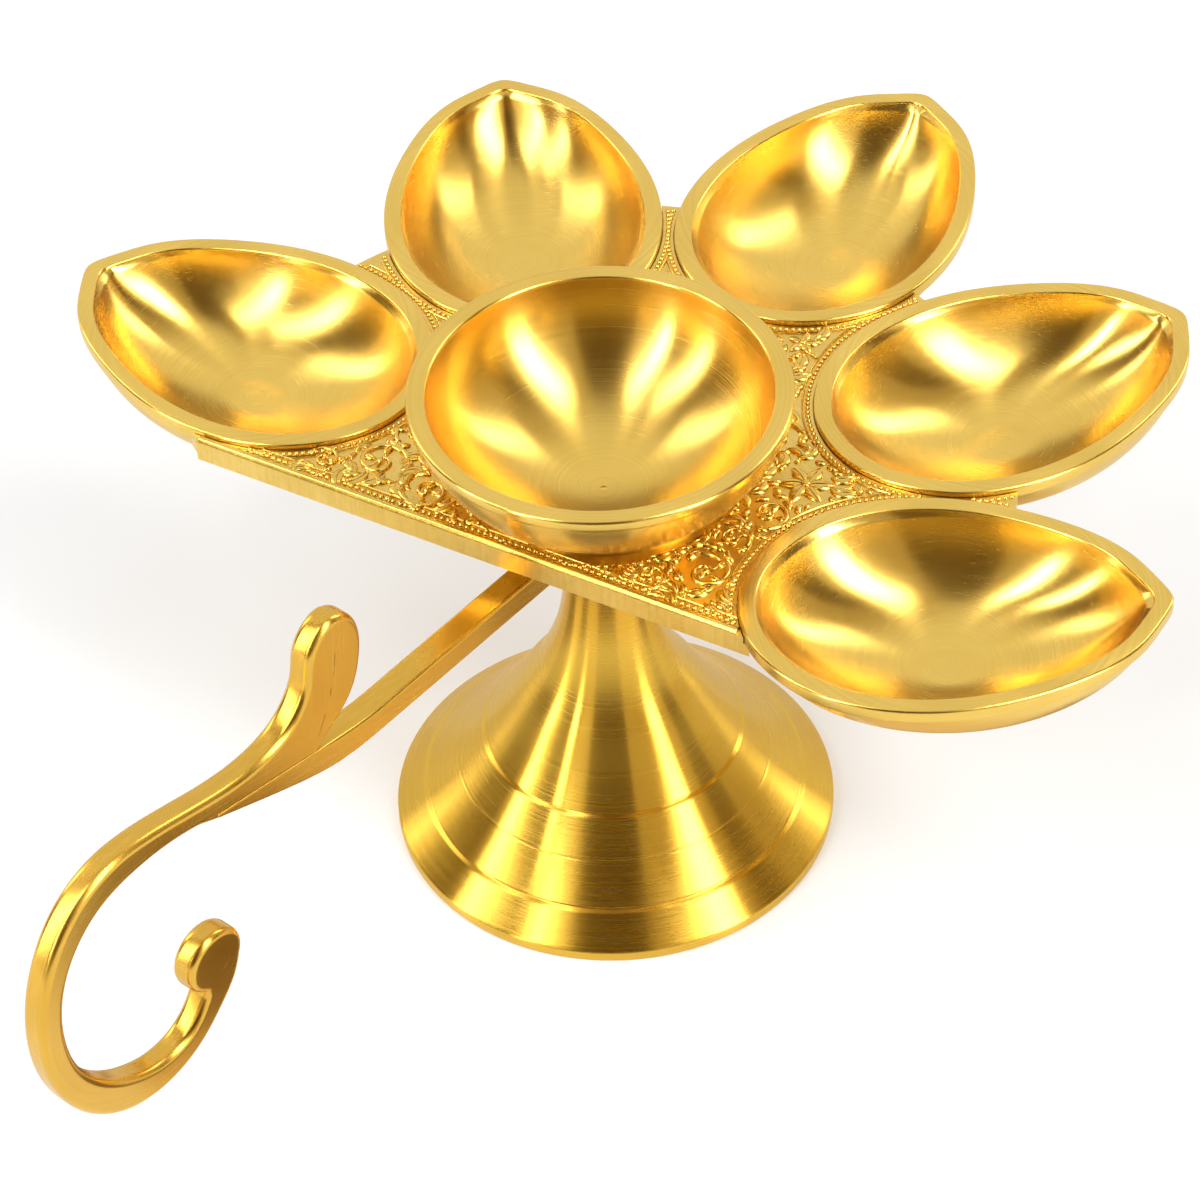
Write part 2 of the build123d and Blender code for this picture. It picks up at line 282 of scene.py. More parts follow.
flare = []
for k, (r, z) in enumerate(smooth_line(FLARE, FLARE_POINTS)):
    cuts = [(deep, abs(z - height) / half) for height, deep, half in GROOVES if abs(z - height) < 2 * half]
    if k % KEPT == 0 or (cuts and k % KEPT_IN_GROOVE == 0):
        flare.append((r - sum(deep * max(0.0, 1 - off) for deep, off in cuts), z))
cavity = [tuple(q) for q in smooth_line(CAVITY, count=40)]
base = (BASE_RADIUS, 0.0)
flange_under, flange_over = (FLANGE_RADIUS, FLANGE_LOW), (FLANGE_RADIUS, PEDESTAL_TOP)
flare_end = (FLANGE_RADIUS - FLANGE_ROUND, FLANGE_LOW - FLANGE_ROUND)
profile = ([(CAVITY[0][0] + FOOT_EDGE, 0.0)] + rounded(base, CAVITY[0], flare[0], BASE_ROUND)
           + rounded(flare[0], base, flare[2], EDGE) + flare[1:-1]
           + [flare_end] + rounded(flange_under, flare_end, flange_over, FLANGE_ROUND, steps=2)
           + rounded(flange_over, flange_under, (NECK_BORE, PEDESTAL_TOP), EDGE)
           + [(NECK_BORE + EDGE, PEDESTAL_TOP), (NECK_BORE, PEDESTAL_TOP - EDGE), (NECK_BORE, CAVITY[-1][1])]
           + cavity[::-1][:-1] + [(CAVITY[0][0], FOOT_EDGE)])
piece("pedestal_turned", *turned(profile), "pedestal", turned_brass, "turned_brass", ["pedestal"], sharp=32)

# Stud, washer and nut: plain machined brass, hidden in the pedestal's neck and hollow.
# The nut draws the centre bowl, the handle and the pedestal together on the stud.
FASTENER_LIGHT, FASTENER_DARK = (0.80, 0.55, 0.16), (0.62, 0.38, 0.08)


def refinish(node, finish):
    """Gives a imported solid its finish."""
    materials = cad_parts[node].data.materials
    materials.clear()
    materials.append(finish)


fastener_brass = brass("fastener_brass", FASTENER_LIGHT, FASTENER_DARK, roughness=0.34, lines=lathe_lines)
for node in ("tie_stud", "clamp_washer", "clamp_nut"):
    refinish(node, fastener_brass)

# Handle bar: a square brass bar, drawn and polished along its length, with a flat eye round the stud.
# Its outer end rises and thins to a tip that is brazed under the scroll.
# Points are distance from the lamp's axis and height.
EYE_BOTTOM, EYE_TOP, EYE_RADIUS, BAR_TOP = 64.5, 67.6, 9.5, 69.3
BAR_START, BAR_MIDDLE, BAR_BEND, BAR_HALF, BAR_ROUND = 8.8, 30.0, 56.0, 2.3, 0.6
SEAM_START, SEAM_END, BAR_TIP, TIP_SLOPE = (71.0, 71.4), (92.0, 75.4), (92.0, 74.7), 0.42
BAR_UNDER = [(BAR_BEND, EYE_BOTTOM), (66.8, 65.3), (73.4, 67.2), (82.0, 70.5), BAR_TIP]
HOOK, KNOB, KNOB_RADIUS = (107.0, 56.0), (96.1, 46.0), 5.7
HANDLE_LIGHT, HANDLE_DARK = (0.72, 0.44, 0.075), (0.60, 0.34, 0.045)
# Where the scratches change direction, and how fast they do, per metre.
HOOK_FROM, LEAF_FROM, LEAF_TO, KNOB_TO = 98.0, 76.5, 74.5, 5.0
HOOK_BLEND, LEAF_BLEND, KNOB_BLEND = 170.0, 400.0, 1400.0
BAR_SLOPE, LEAF_SLOPE = 0.2, 0.1
SIDE_SCRATCHES, SCRATCHES, SCRATCH_DRIFT, WEAR_GRAIN = 1500.0, 1900.0, 50.0, 120.0
SCRATCH_SHARE, WEAR_SHARE = 0.75, 0.25
# The leaf's vein: its top, its distance there and its bow, then its ends, its thinness and its breaks.
VEIN_TOP, VEIN_REACH, VEIN_BOW = 90.5, 64.8, 20.0
VEIN_LOW, VEIN_HIGH, VEIN_FADE, VEIN_THINNESS, VEIN_DARK = 73.5, 88.5, 900.0, 3600.0, 0.9
BREAK_GRAIN, BREAK_LEVEL, BREAK_SHARPNESS = 480.0, 0.4, 9.0
# Along the seam the edges are nearly square, from SEAM_NEAR over SEAM_REACH.
SEAM_EDGE, SEAM_NEAR, SEAM_REACH, SEAM_STEPS = 0.25, 0.3, 3.5, 12


def drawn_lines(place):
    """Polishing scratches: along the bar and the leaf, round the hook, and in rings on the knob."""
    x, y, z = place.axes()
    reach = y * -1.0

    def away(centre):
        return length_of(reach - centre[0] * MM, z - centre[1] * MM)

    on_hook = ((reach - HOOK_FROM * MM) * HOOK_BLEND).clipped()
    on_leaf = ((z - LEAF_FROM * MM) * LEAF_BLEND).clipped() * ((LEAF_TO * MM - reach) * LEAF_BLEND).clipped()
    on_knob = (1 - (away(KNOB) - KNOB_TO * MM) * KNOB_BLEND).clipped()
    across = (z - reach * BAR_SLOPE) * (1 - on_hook) + away(HOOK) * on_hook
    across = across * (1 - on_leaf) + (reach + z * LEAF_SLOPE) * on_leaf
    across = across * (1 - on_knob) + away(KNOB) * on_knob
    scratches = place.joined(x * SIDE_SCRATCHES, across * SCRATCHES, (reach + z) * SCRATCH_DRIFT)
    wear = place.noise(detail=2.0, scale=WEAR_GRAIN)
    return scratches.noise(detail=2.0) * SCRATCH_SHARE + wear * WEAR_SHARE


def leaf_vein(place):
    """A broken dark line, cut down the middle of the thumb leaf."""
    y, z = place.axes()[1:]
    drop = VEIN_TOP * MM - z
    off = place.maths("ABSOLUTE", y * -1.0 - drop * drop * VEIN_BOW - VEIN_REACH * MM)
    breaks = place.noise(detail=1.0, scale=BREAK_GRAIN)
    broken = ((breaks - BREAK_LEVEL) * BREAK_SHARPNESS).clipped()
    ends = ((z - VEIN_LOW * MM) * VEIN_FADE).clipped() * ((VEIN_HIGH * MM - z) * VEIN_FADE).clipped()
    return 1 - (1 - off * VEIN_THINNESS).clipped() * ends * broken * VEIN_DARK


seam_run = np.array(SEAM_END) - np.array(SEAM_START)
seam = [np.array(SEAM_START) + seam_run * k / SEAM_STEPS for k in range(SEAM_STEPS + 1)]


def flat_casting(outline, half, round_off, steps=5):
    """Points and faces of an upright flat shape, from its outline of distance and height.

    Its edges are rounded by round_off, and only lightly along the brazed seam.
    """
    p = np.array(outline, float)
    from_seam = np.min([np.hypot(*(p - q).T) for q in seam], axis=0)
    edge = SEAM_EDGE + (round_off - SEAM_EDGE) * np.clip((from_seam - SEAM_NEAR) / SEAM_REACH, 0, 1)
    ahead, behind = np.roll(p, -1, axis=0) - p, p - np.roll(p, 1, axis=0)
    ahead /= np.linalg.norm(ahead, axis=1)[:, None]
    behind /= np.linalg.norm(behind, axis=1)[:, None]
    along = ahead + behind
    along /= np.linalg.norm(along, axis=1)[:, None]
    area = np.sum(p[:, 0] * np.roll(p[:, 1], -1) - np.roll(p[:, 0], -1) * p[:, 1])
    inward = np.stack([-along[:, 1], along[:, 0]], axis=1) * (1 if area > 0 else -1)
    verts = []
    for side in (1, -1):
        for k in (range(steps, -1, -1) if side > 0 else range(steps + 1)):
            bend = 0.5 * pi * k / steps
            loop = p + inward * edge[:, None] * (1 - cos(bend))
            verts += [(side * (half - e + e * sin(bend)), -d, z) for (d, z), e in zip(loop, edge)]
    n = len(p)
    rows = 2 * (steps + 1)
    faces = ring_faces(rows, n, False)
    faces += [tuple(range(n)), tuple(range((rows - 1) * n, rows * n))]
    return verts, faces


def points_of(*lines):
    """The points of several lines, one line after the other."""
    return [tuple(q) for line in lines for q in line]


handle_brass = brass("handle_brass", HANDLE_LIGHT, HANDLE_DARK, roughness=0.26, lines=drawn_lines,
                     extra=leaf_vein)
bar_over = smooth_line([(BAR_BEND, BAR_TOP), SEAM_START], count=14, start=(1, 0), end=seam_run)
bar_under = smooth_line(BAR_UNDER, count=30, start=(1, 0), end=(1, TIP_SLOPE))
outline = points_of([(BAR_START, EYE_BOTTOM), (BAR_MIDDLE, EYE_BOTTOM)], bar_under, seam[::-1],
                    bar_over[::-1][1:], [(BAR_MIDDLE, BAR_TOP), (BAR_START, BAR_TOP)])
bar = piece("handle_bar_drawn", *flat_casting(outline, BAR_HALF, BAR_ROUND), "handle", handle_brass,
            "handle_brass", ["handle_bar"])
eye = [(NECK_BORE, EYE_BOTTOM), (EYE_RADIUS - EDGE, EYE_BOTTOM), (EYE_RADIUS, EYE_BOTTOM + EDGE),
       (EYE_RADIUS, EYE_TOP - EDGE), (EYE_RADIUS - EDGE, EYE_TOP), (NECK_BORE, EYE_TOP)]
piece("handle_eye", *turned(eye, steps=96), "handle", handle_brass, "handle_brass")

# Handle scroll: one flat brass casting with the thumb leaf, the arch, the hook and its round knob.
# The edges are rounded by hand, and the dark seam shows where it is brazed on the bar.
SCROLL_UNDER = [BAR_TIP, (99.0, 76.6), (109.0, 77.4), (116.5, 75.8), (122.2, 71.2), (125.6, 64.4),
                (126.4, 56.0), (124.6, 47.6), (119.8, 40.4), (113.4, 35.9), (107.6, 34.5), (102.6, 36.0),
                (98.7, 40.8)]
SCROLL_OVER = [(91.2, 42.6), (92.0, 40.6), (95.8, 35.8), (101.2, 31.4), (108.0, 29.2), (116.0, 30.2),
               (123.0, 35.0), (128.0, 42.4), (130.6, 50.4), (131.2, 58.0), (130.0, 66.0), (127.2, 72.8),
               (123.2, 78.0), (118.0, 81.4), (112.0, 82.8), (106.0, 82.4), (98.0, 80.7), (90.0, 78.9),
               (84.0, 78.3), (79.5, 78.7), (75.5, 80.2), (72.6, 82.9), (71.1, 86.0), (70.4, 89.6),
               (68.2, 92.9), (64.4, 94.4), (60.8, 92.4), (59.0, 87.8), (59.4, 82.9), (60.8, 78.8),
               (63.2, 75.7), (66.8, 73.3), SEAM_START]
SCROLL_HALF, SCROLL_ROUND = 2.2, 1.25
# The angles in degrees, from where the hook comes in to where it leaves, at which the knob has points.
KNOB_SWEEP = range(-60, 207, 6)
knob = [(KNOB[0] + KNOB_RADIUS * cos(radians(a)), KNOB[1] + KNOB_RADIUS * sin(radians(a)))
        for a in KNOB_SWEEP]
scroll_under, scroll_over = smooth_line(SCROLL_UNDER, count=150), smooth_line(SCROLL_OVER, count=330)
outline = points_of(scroll_under[:-1], knob, scroll_over, seam[1:])
scroll = piece("handle_scroll_cast", *flat_casting(outline, SCROLL_HALF, SCROLL_ROUND, steps=6), "handle",
               handle_brass, "handle_brass", ["handle_scroll"])
for made in (bar, scroll):
    made.modifiers.new("flat_sides", "WEIGHTED_NORMAL").keep_sharp = True

# Centre bowl: a heavy turned bowl with a flat brushed lip and a collar that stands on the plate.
# The tool left a small pip and close rings at the bottom.
RIM_HEIGHT, RIM_RADIUS, LIP, DEPTH = 93.4, 30.6, 3.1, 21.0
WALL_TOP, WALL_RADIUS, WALL_DEPTH, WALL_SWELL = 91.6, 30.0, 21.4, 1.7
COLLAR, PLATE_TOP, FOOT, SOCKET, SOCKET_TOP = 21.2, 77.4, 8.0, 3.05, 71.1
LIP_INNER_ROUND, LIP_OUTER_ROUND, LIP_UNDER_ROUND = 0.5, 0.6, 0.35
PIP = [(0.5, 0.0), (0.3, 0.12), (0.0, 0.16)]
# The angles in degrees at which the bowl's quarter arc starts and ends, and its points.
ARC_START, ARC_END, ARC_POINTS = 3, 90, 70
GOLD_LIGHT, GOLD_DARK = (0.80, 0.555, 0.135), (0.70, 0.455, 0.085)
# Buffing streaks round the bowl, and how they drift with height.
SPOKES, SPOKE_DRIFT = 42.0, 60.0


def buffing(place):
    """Faint streaks that run from the rim down to the middle, left by the buffing wheel."""
    x, y, z = place.axes()
    turn = place.maths("ARCTAN2", y, x)
    ways = [place.maths(way, turn) * SPOKES for way in ("COSINE", "SINE")]
    return place.joined(*ways, z * SPOKE_DRIFT).noise(detail=3.0)


fall = 2 / WALL_SWELL
bowl_in, bowl_bottom = RIM_RADIUS - LIP, RIM_HEIGHT - DEPTH
arc = [radians(a) for a in np.linspace(ARC_START, ARC_END, ARC_POINTS)]
inside = [(bowl_in * cos(a), RIM_HEIGHT - DEPTH * sin(a)) for a in arc[:-1]]
inside += [(r, bowl_bottom + rise) for r, rise in PIP]
outside = [(WALL_RADIUS * abs(cos(a)) ** fall, WALL_TOP - WALL_DEPTH * sin(a) ** fall) for a in arc]
upper = [q for q in outside if q[0] > COLLAR]
lower = [q for q in outside if q[1] < PLATE_TOP and q[0] > FOOT]
inner_top, outer_top, outer_low = (bowl_in, RIM_HEIGHT), (RIM_RADIUS, RIM_HEIGHT), (RIM_RADIUS, WALL_TOP)
profile = (inside[::-1] + rounded(inner_top, inside[0], outer_top, LIP_INNER_ROUND)
           + rounded(outer_top, inner_top, outer_low, LIP_OUTER_ROUND)
           + rounded(outer_low, outer_top, (WALL_RADIUS, WALL_TOP), LIP_UNDER_ROUND)
           + upper + [(COLLAR, PLATE_TOP)] + lower
           + [(FOOT, EYE_TOP + EDGE), (FOOT - EDGE, EYE_TOP), (SOCKET, EYE_TOP), (SOCKET, SOCKET_TOP),
              (0.0, SOCKET_TOP)])
bowl_brass = brass("bowl_brass", GOLD_LIGHT, GOLD_DARK, roughness=0.25, lines=lathe_lines, streak=0.88,
                   depth=0.006, comb=buffing)
piece("centre_bowl_turned", *turned(profile), "tray", bowl_brass, "turned_brass", ["centre_bowl"], sharp=50)

# Petal bowls: one leaf-shaped casting, used five times, buffed bright inside in rings.
# The flat lip is brushed, lies in a rebate in the plate, and is brazed there.
LEAF_HALF = [(34.2, 0.0), (33.6, 2.05), (32.2, 4.6), (29.1, 9.45), (24.1, 14.2), (18.1, 17.8), (6.0, 22.4),
             (-6.5, 23.6), (-20.3, 19.8), (-28.6, 12.2), (-31.6, 6.4), (-32.6, 0.0)]
LEAF_LENGTH, LEAF_WIDTH = 33.4, 23.6
ROUND_LENGTH, ROUND_WIDTH, FADE, INNER_FADE = 31.0, 22.4, 0.6, 0.42
# The hull's section: share of the depth, and share of the outline's size there.
HULL = [(0.0, 1.0), (0.3, 0.955), (0.55, 0.85), (0.75, 0.7), (0.89, 0.51), (0.97, 0.32), (1.0, 0.16)]
HULL_START, BELOW_LIP = (0.12, 0), 0.05
LIP_TOP, LIP_LOW, LIP_WIDTH, OVERHANG, LIP_ROUND = 78.4, 76.1, 3.0, 0.9, 0.5
PETAL_DEPTH, PETAL_FLOOR = 16.0, 2.0
TRAY_TURN = 9.0
# Each petal's angle round the axis, its middle's distance, and its turn off the radial line.
PETALS = [("left_outer", 181.0, 66.9, -3.9), ("left_inner", 132.4, 68.0, -5.6), ("middle", 88.8, 75.0, 1.4),
          ("right_inner", 45.5, 67.6, 12.1), ("right_outer", -1.8, 63.0, 32.0)]
leaf_half = smooth_line(LEAF_HALF, count=110, start=(0, 1), end=(0, -1))
leaf = np.concatenate([leaf_half, leaf_half[-2:0:-1] * [1, -1]])


def leaf_ring(inset, scale, roundness, height):
    """The leaf's outline drawn in by inset, shrunk by scale, and rounder as roundness grows."""
    x = leaf[:, 0] * (1 - inset / LEAF_LENGTH)
    y = leaf[:, 1] * (1 - inset / LEAF_WIDTH)
    angle = np.arctan2(y, x)
    oval = 1 / np.hypot(np.cos(angle) / (ROUND_LENGTH - inset), np.sin(angle) / (ROUND_WIDTH - inset))
    radius = scale * ((1 - roundness) * np.hypot(x, y) + roundness * oval)
    return [(r * cos(a), r * sin(a), height) for r, a in zip(radius, angle)]


hull = smooth_line(HULL, count=44, start=HULL_START, end=(0, -1))
lip_section = (rounded((0.0, LIP_LOW), (OVERHANG, LIP_LOW), (0.0, LIP_TOP), EDGE)
               + rounded((0.0, LIP_TOP), (0.0, LIP_LOW), (LIP_WIDTH, LIP_TOP), LIP_ROUND)
               + rounded((LIP_WIDTH, LIP_TOP), (0.0, LIP_TOP), (LIP_WIDTH, LIP_LOW), LIP_ROUND))
under_depth, inner_depth = PETAL_DEPTH - LIP_TOP + LIP_LOW, PETAL_DEPTH - PETAL_FLOOR
rings = [[(0.0, 0.0, LIP_TOP - PETAL_DEPTH)] * len(leaf)]
rings += [leaf_ring(OVERHANG, s, min(t, 1) ** FADE, LIP_LOW - under_depth * t) for t, s in hull[::-1]]
rings += [leaf_ring(inset, 1.0, 0.0, z) for inset, z in lip_section]
rings += [leaf_ring(LIP_WIDTH, s, min(t, 1) ** INNER_FADE, LIP_TOP - inner_depth * t)
          for t, s in hull if t > BELOW_LIP]
rings += [[(0.0, 0.0, LIP_TOP - PETAL_DEPTH + PETAL_FLOOR)] * len(leaf)]
petal_points = np.array([q for ring in rings for q in ring])
petal_faces = ring_faces(len(rings), len(leaf), False)
tray_place = Matrix.Rotation(radians(TRAY_TURN), 4, "Z")
for name, angle, distance, turn in PETALS:
    place = tray_place @ Matrix.Rotation(radians(angle), 4, "Z") @ Vector((distance * MM, 0, 0))
    spin = np.array(Matrix.Rotation(radians(TRAY_TURN + angle + turn), 3, "Z"))
    piece("petal_bowl_cast_" + name, petal_points @ spin.T, petal_faces, "tray", bowl_brass, "bowl_brass",
          ["petal_bowl_" + name], sharp=55, place=Matrix.Translation(place))

# Tray plate: a flat casting with a brushed straight edge and a stippled ground.
# The relief on it was cast with it: rails, rows of beads, vine scrolls, leaves and rosettes.
GROUND_LIGHT, GROUND_DARK = (0.85, 0.61, 0.18), (0.62, 0.40, 0.07)
# The relief's height, and how far its pieces are sunk in the plate.
RELIEF, SUNK = 0.62, 0.05
GRAIN, BRUSHING, BRUSH_DRIFT, GRAIN_SHARE, BRUSH_SHARE = 900.0, 1500.0, 90.0, 0.4, 0.6
# Painted shade on the relief: its tone at the plate's top, and how much it rises over the relief's height.
SHADED_FOOT_TONE, SHADE_RISE = 0.62, 0.7


def stipple(place):
    """The fine grain of the cast ground, and the brushing that runs down the plate's edge."""
    x, y, z = place.axes()
    down = place.joined(x * BRUSHING, y * BRUSHING, z * BRUSH_DRIFT)
    return place.noise(detail=2.0, scale=GRAIN) * GRAIN_SHARE + down.noise(detail=2.0) * BRUSH_SHARE


def raised(place):
    """Painted shade: darker low down on the relief, near the ground, and its full tone on the raised parts.
    """
    z = place.axes()[2]
    return ((z - PLATE_TOP * MM) * (SHADE_RISE / (RELIEF * MM)) + SHADED_FOOT_TONE).clipped()


# The relief's brass is darkened low down by painted shade.
ornament_brass = brass("ornament_brass", GOLD_LIGHT, GROUND_DARK, roughness=0.24, lines=stipple,
                       extra=raised)
ground_brass = brass("ground_brass", GROUND_LIGHT, GROUND_DARK, roughness=0.30, lines=stipple, depth=0.05)
refinish("tray_plate", ground_brass)

FRONT_OFFSET, FRONT_SKEW, FRONT_DEPTH, FRONT_LEFT, FRONT_RIGHT = 24.6, 2.0, 14.0, 68.0, 46.0
WEB_RADIUS, CORNER = 66.0, 11.0
FAR_AWAY = 99.0
skew = radians(FRONT_SKEW)


def turning(angle):
    """The matrix that turns rows of points by an angle."""
    return np.array([[cos(angle), sin(angle)], [-sin(angle), cos(angle)]])


lips = [(leaf @ turning(radians(turn)) + [distance, 0]) @ turning(radians(angle))
        for name, angle, distance, turn in PETALS]


def clear_of(point):
    """How far a place on the plate is from the nearest lip, the bowl's collar and the plate's own edge."""
    x, y = point
    nearest = FAR_AWAY
    for lip in lips:
        gap = np.hypot(lip[:, 0] - x, lip[:, 1] - y)
        k = int(np.argmin(gap))
        centre = lip.mean(axis=0)
        outside_it = hypot(x - centre[0], y - centre[1]) > hypot(*(lip[k] - centre))
        nearest = min(nearest, gap[k] if outside_it else -gap[k])
    front = -x * sin(skew) + y * cos(skew) + FRONT_OFFSET
    along = x * cos(skew) + y * sin(skew)
    rim = WEB_RADIUS - hypot(x, y)
    if front < FRONT_DEPTH:
        end = min(along + FRONT_LEFT, FRONT_RIGHT - along)
        if end < CORNER and front < CORNER:
            end = CORNER - hypot(CORNER - end, CORNER - front)
        rim = max(rim, end)
    return min(nearest, hypot(x, y) - COLLAR, front, rim)


relief_verts, relief_faces = [], []
relief_foot = PLATE_TOP - SUNK


def rib(path, widths, heights, sides=6):
    """A rounded raised strip along a path on the plate, with its own width and height at each point."""
    path = np.array(path, float)
    along = np.gradient(path, axis=0)
    along /= np.linalg.norm(along, axis=1)[:, None] + 1e-9
    first = len(relief_verts)
    for (x, y), (dx, dy), w, h in zip(path, along, widths, heights):
        for k in range(sides + 1):
            a = pi * k / sides
            relief_verts.append((x - dy * w * cos(a), y + dx * w * cos(a), relief_foot + h * sin(a)))
    row = sides + 1
    for i in range(len(path) - 1):
        for k in range(sides):
            a = first + i * row + k
            relief_faces.append((a, a + 1, a + row + 1, a + row))
    relief_faces.append(tuple(first + k for k in range(row)))
    relief_faces.append(tuple(first + (len(path) - 1) * row + k for k in range(row)))


def bead(x, y, radius, height, sides=10, levels=3):
    """A small round bead."""
    first = len(relief_verts)
    for level in range(levels):
        a = 0.5 * pi * level / levels
        for k in range(sides):
            b = 2 * pi * k / sides
            relief_verts.append((x + radius * cos(a) * cos(b), y + radius * cos(a) * sin(b),
                                 relief_foot + height * sin(a)))
    relief_verts.append((x, y, relief_foot + height))
    for level in range(levels - 1):
        for k in range(sides):
            a, b = first + level * sides + k, first + level * sides + (k + 1) % sides
            relief_faces.append((a, b, b + sides, a + sides))
    last = first + (levels - 1) * sides
    for k in range(sides):
        relief_faces.append((last + k, last + (k + 1) % sides, last + sides))


def bead_row(path, spacing, radius, height, room):
    """Beads at even steps along a path, where the plate has room for them."""
    step = np.concatenate([[0], np.cumsum(np.linalg.norm(np.diff(path, axis=0), axis=1))])
    for s in np.arange(0.0, step[-1], spacing):
        x, y = np.interp(s, step, path[:, 0]), np.interp(s, step, path[:, 1])
        if clear_of((x, y)) > room:
            bead(x, y, radius, height)


def rail(path, width, height, room, fewest=4):
    """A raised line along a path, broken where the plate has no room for it."""
    run = []
    for q, fits in [(q, clear_of(q) > room) for q in path] + [(None, False)]:
        if fits:
            run.append(q)
            continue
        if len(run) >= fewest:
            rib(run, np.full(len(run), width), np.full(len(run), height), sides=4)
        run = []


LEAFLET_POINTS, LEAST_WIDTH = 10, 0.05


def leaflet(x, y, angle, length, width, height, curl=0.0):
    """A small pointed leaf with a raised vein, bending to one side by curl."""
    t = np.linspace(0, 1, LEAFLET_POINTS)
    bend = angle + curl * t
    path = np.stack([x + length * t * np.cos(bend), y + length * t * np.sin(bend)], axis=1)
    # Fullest nearer the stem, and drawn down to a point.
    swell = np.sin(pi * np.clip(t, 0.03, 0.97)) ** 0.7 * (1.2 - 0.4 * t)
    pointed = np.clip(6 * (1 - t), 0.15, 1)
    rib(path, width * swell + LEAST_WIDTH, height * (0.3 + 0.7 * swell) * pointed, sides=8)
    vein = np.full(LEAFLET_POINTS - 1, 0.14 * width + LEAST_WIDTH)
    rib(path[:-1], vein, height * (0.42 + 0.78 * swell[:-1]), sides=4)


# A scroll's turns, the places of the leaves along its vine, and the leaves round it.
# Each leaf's length and width are shares of the scroll's size.
SCROLL_TURN, VINE_LEAVES = 2.4 * pi, (4, 10, 16)
VINE_LEAF_TURN, VINE_LEAF, VINE_CURL = 2.3, (0.55, 0.15), 0.9
ROUND_LEAVES, ROUND_LEAF_AT, ROUND_LEAF_TURN, ROUND_LEAF = 5, 0.86, 0.7, (0.62, 0.19)
VINE_POINTS = 34


def scroll_stem(x, y, size, angle, hand):
    """A vine that winds in on itself, with broad leaves all round it and a bud at its heart."""
    t = np.linspace(0, 1, VINE_POINTS)
    radius = size * (0.98 - 0.8 * t**0.9)
    bend = angle + hand * SCROLL_TURN * t
    path = np.stack([x + radius * np.cos(bend), y + radius * np.sin(bend)], axis=1)
    rib(path, (0.22 + 0.08 * size) * (1 - 0.35 * t), RELIEF * (1.0 - 0.15 * t), sides=8)
    bead(x, y, radius=0.16 * size, height=RELIEF * 1.15)
    length, width = (share * size for share in VINE_LEAF)
    for k in VINE_LEAVES:
        leaflet(*path[k], bend[k] + hand * VINE_LEAF_TURN, length, width, RELIEF * 0.95, VINE_CURL * hand)
    length, width = (share * size for share in ROUND_LEAF)
    for k in range(ROUND_LEAVES):
        turn = angle + hand * 2 * pi * (k + 0.5) / ROUND_LEAVES
        from_x, from_y = x + ROUND_LEAF_AT * size * cos(turn), y + ROUND_LEAF_AT * size * sin(turn)
        leaflet(from_x, from_y, turn + ROUND_LEAF_TURN * hand, length, width, RELIEF, hand)


def rosette(x, y, size, petals, turn):
    """A small open flower."""
    for k in range(petals):
        way = turn + 2 * pi * k / petals
        leaflet(x, y, way, length=size, width=size * 0.27, height=RELIEF, curl=0.2)
    bead(x, y, radius=size * 0.24, height=RELIEF * 1.25)


# How far in from the front edge, out from the lips and round the bowl the rails, beads and lines run.
FRONT_RAIL, FRONT_BEADS, FRONT_LINE, LIP_BEADS, LIP_LINE, BOWL_BEADS = 0.75, 2.25, 3.15, 1.05, 1.85, 23.4
FRONT_POINTS, ROUND_POINTS = 260, 200
front_along = np.linspace(-FRONT_LEFT + 1, FRONT_RIGHT, FRONT_POINTS)
front_line = np.stack([front_along, np.full(FRONT_POINTS, -FRONT_OFFSET)], axis=1)


def beside_front(offset):
    """The straight front edge, moved in from the edge by offset."""
    return (front_line + [0, offset]) @ turning(skew)


rail(beside_front(FRONT_RAIL), width=0.68, height=0.8, room=0.4)
bead_row(beside_front(FRONT_BEADS), spacing=1.12, radius=0.5, height=0.55, room=0.45)
rail(beside_front(FRONT_LINE), width=0.2, height=0.4, room=0.3)
for lip in lips:
    closed = np.concatenate([lip, lip[:1]])
    heading = np.gradient(closed, axis=0)
    heading /= np.linalg.norm(heading, axis=1)[:, None]
    normal = np.stack([heading[:, 1], -heading[:, 0]], axis=1)
    bead_row(closed + normal * LIP_BEADS, spacing=1.06, radius=0.46, height=0.5, room=0.6)
    rail(closed + normal * LIP_LINE, width=0.2, height=0.4, room=1.5)
around = np.linspace(0, 2 * pi, ROUND_POINTS)
bead_row(np.stack([BOWL_BEADS * np.cos(around), BOWL_BEADS * np.sin(around)], axis=1),
         spacing=1.12, radius=0.5, height=0.5, room=0.6)

# Flowers by place, size, petals and turn, and scrolls by place, size, angle and hand.
FLOWERS = [(30.6, 11.4, 4.6, 6, 0.3), (14.0, 41.2, 3.0, 5, 0.4), (-12.6, 40.0, 3.0, 5, 0.2),
           (-33.2, 13.6, 3.6, 6, 0.0)]
SCROLLS = [(-31.6, -16.4, 4.6, 0.6, 1), (-39.8, -20.2, 2.6, 2.6, -1), (-30.4, -8.0, 3.4, 4.4, -1),
           (26.6, -13.6, 4.4, 2.2, -1), (28.8, 2.6, 3.6, 5.2, 1)]
